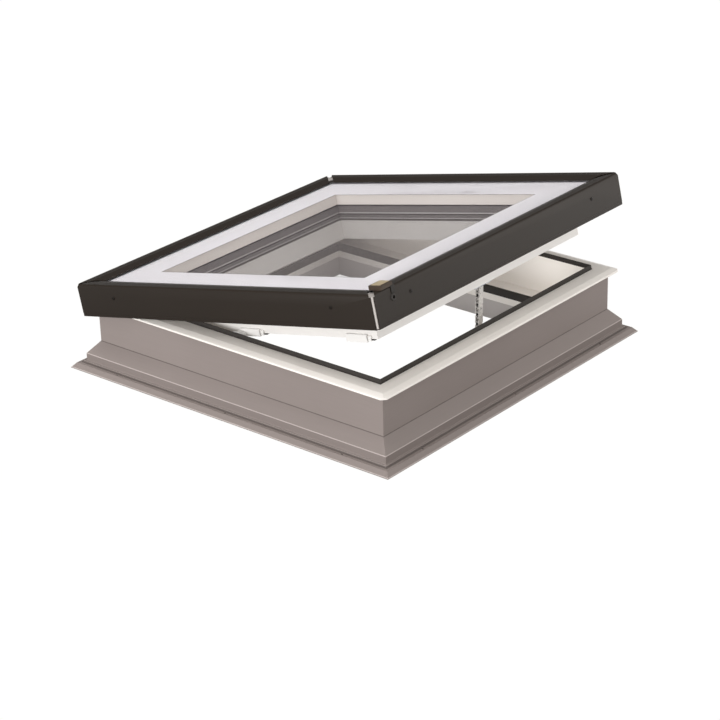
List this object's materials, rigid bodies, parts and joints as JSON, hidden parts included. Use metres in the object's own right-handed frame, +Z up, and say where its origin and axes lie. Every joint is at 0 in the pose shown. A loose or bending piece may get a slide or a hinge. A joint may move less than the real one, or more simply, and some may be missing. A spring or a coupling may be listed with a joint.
{
  "type": "roof skylight",
  "caption": "Opening flat-roof skylight: square insulated plastic curb with a roof flange, and a flat-glazed sash with dark metal covers, hinged at the back and lifted by a chain drive.",
  "frame": {"origin": "centre of the curb's underside, in the plane of the roof", "axes": "+Z up, +Y towards the hinged side, -Y towards the side that opens, +X to the right seen from the opening side"},
  "size_m": [1.0126, 1.0126, 0.4354],
  "materials": {
    "curb_plastic": "fine matte",
    "white_plastic": "satin",
    "lining_plastic": "matte",
    "grey_plastic": "matte",
    "dark_plastic": "matte",
    "foam": "cellular",
    "seal_rubber": "matte",
    "zinc_steel": "zinc plated",
    "bright_steel": "bright",
    "chain_steel": "nickel plated",
    "dark_steel": "dark coated",
    "motor_steel": "painted",
    "dark_aluminium": "powder coated, satin",
    "glass": "clear",
    "white_enamel": "fired white border",
    "spacer_grey": "matte",
    "drive_grey": "satin",
    "sensor_plastic": "satin",
    "sensor_gold": "metallised"
  },
  "bodies": {
    "curb": {"curb_profile": "curb_plastic", "inner_liner": "white_plastic", "lower_lining": "lining_plastic", "outer_insulation": "foam", "inner_insulation": "foam", "rim_gasket": "seal_rubber", "ledge_gasket": "seal_rubber", "guide_posts": "white_plastic", "hinge_curb_leaf_left": "zinc_steel", "hinge_curb_leaf_right": "zinc_steel", "hinge_pin_left": "bright_steel", "hinge_pin_right": "bright_steel", "hinge_curb_screws": "bright_steel", "drive_bracket_left": "zinc_steel", "drive_bracket_right": "zinc_steel", "chain_outlet": "grey_plastic", "cable_gland": "seal_rubber"},
    "sash": {"sash_frame": "white_plastic", "sash_steel": "zinc_steel", "glazing_frame": "white_plastic", "top_pane": "glass", "glass_border": "white_enamel", "unit_outer_pane": "glass", "unit_middle_pane": "glass", "unit_inner_pane": "glass", "upper_spacer": "spacer_grey", "lower_spacer": "spacer_grey", "glazing_gasket": "seal_rubber", "cover_gasket": "seal_rubber", "cover_front": "dark_aluminium", "cover_back": "dark_aluminium", "cover_left": "dark_aluminium", "cover_right": "dark_aluminium", "cover_clips": "white_plastic", "corner_keys": "grey_plastic", "cover_screws": "dark_steel", "guide_blocks": "white_plastic", "block_feet": "seal_rubber", "sensor_body": "sensor_plastic", "sensor_field": "sensor_gold", "sensor_strap": "dark_steel", "sensor_grommet": "seal_rubber", "hinge_sash_leaf_left": "zinc_steel", "hinge_sash_leaf_right": "zinc_steel", "hinge_sash_screws": "bright_steel", "chain_bracket": "zinc_steel", "chain_bracket_pin": "bright_steel"},
    "drive": {"drive_housing": "drive_grey", "drive_lid": "drive_grey", "drive_motor": "motor_steel", "drive_gear_case": "drive_grey", "drive_cap_left": "dark_plastic", "drive_cap_right": "dark_plastic", "chain_outer_links": "chain_steel", "chain_inner_links": "chain_steel", "chain_rivets": "dark_steel"},
    "sprocket": {"drive_sprocket": "bright_steel", "sprocket_shaft": "bright_steel"},
    "end_link": {"chain_end_link": "chain_steel"}
  },
  "joints": [
    {"name": "sash_hinge", "type": "hinge", "parent": "curb", "child": "sash", "pos_m": [0, 0.4507, 0.1863], "axis": [-1, 0, 0], "range_deg": [-12.3, 0], "deforming": ["chain_outer_links", "chain_inner_links", "chain_rivets"]},
    {"name": "drive_swivel", "type": "hinge", "parent": "curb", "child": "drive", "pos_m": [0, -0.377, 0.062], "axis": [-1, 0, 0], "range_deg": [-6.16, 0.01]},
    {"name": "sprocket_spin", "type": "hinge", "parent": "drive", "child": "sprocket", "pos_m": [-0.01633, -0.37672, 0.04788], "axis": [0, 0.9998, 0.0194], "range_deg": [-1, 635]},
    {"name": "end_link_pivot", "type": "hinge", "parent": "sash", "child": "end_link", "pos_m": [0, -0.38121, 0.27833], "axis": [-1, 0, 0], "range_deg": [-0.01, 6.16]}
  ],
  "couplings": [
    {"joint": "drive_swivel", "follows": "sash_hinge", "ratio": 0.5},
    {"joint": "end_link_pivot", "follows": "sash_hinge", "ratio": -0.5},
    {"joint": "sprocket_spin", "follows": "sash_hinge", "ratio": -51.075}
  ]
}
